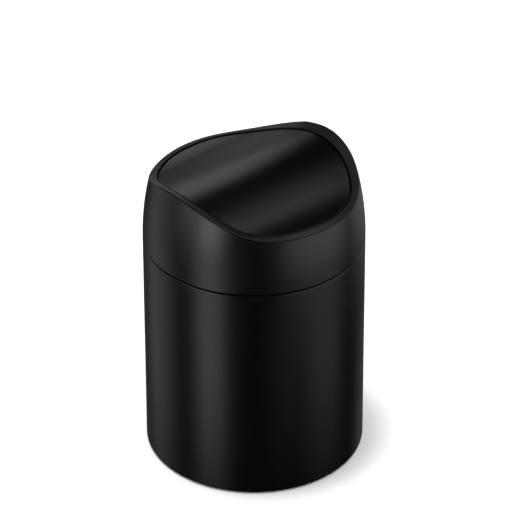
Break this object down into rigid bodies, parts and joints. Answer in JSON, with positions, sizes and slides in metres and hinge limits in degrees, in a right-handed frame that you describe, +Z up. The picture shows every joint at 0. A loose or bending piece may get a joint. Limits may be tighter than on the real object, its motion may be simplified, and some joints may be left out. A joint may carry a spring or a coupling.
{
  "type": "countertop trash can with swing lid",
  "caption": "Small round steel table bin with a lift-off saddle-rimmed collar and a counterweighted panel that swings both ways in it.",
  "frame": {"origin": "centre of the base, on the surface that the bin stands on", "axes": "+Z up, X along the hinge of the swing panel, the front faces -Y"},
  "size_m": [0.128, 0.128, 0.1868],
  "materials": {
    "sleeve_black": "satin black powder coat",
    "collar_black": "satin black with a fine grain",
    "panel_black": "satin black",
    "moulding_black": "matte black",
    "bearing_plastic": "smooth dark acetal",
    "rubber_black": "matte",
    "steel": "bright zinc plated"
  },
  "bodies": {
    "bin": {"body_shell": "sleeve_black", "floor_plate": "sleeve_black", "base_ring": "moulding_black", "nonslip_ring": "rubber_black"},
    "lid": {"collar": "collar_black", "seat_ring": "moulding_black", "bearing_left": "bearing_plastic", "bearing_right": "bearing_plastic", "collar_screws": "steel"},
    "swing_panel": {"panel_top": "panel_black", "panel_underside": "moulding_black", "counterweight": "steel", "pivot_pin_left": "steel", "pivot_pin_right": "steel", "panel_screws": "steel"}
  },
  "joints": [
    {"name": "lid_lift", "type": "slide", "parent": "bin", "child": "lid", "axis": [0, 0, 1], "range_m": [0, 0.04]},
    {"name": "panel_swing", "type": "hinge", "parent": "lid", "child": "swing_panel", "pos_m": [0, 0, 0.17605], "axis": [1, 0, 0], "range_deg": [-70, 70]}
  ]
}
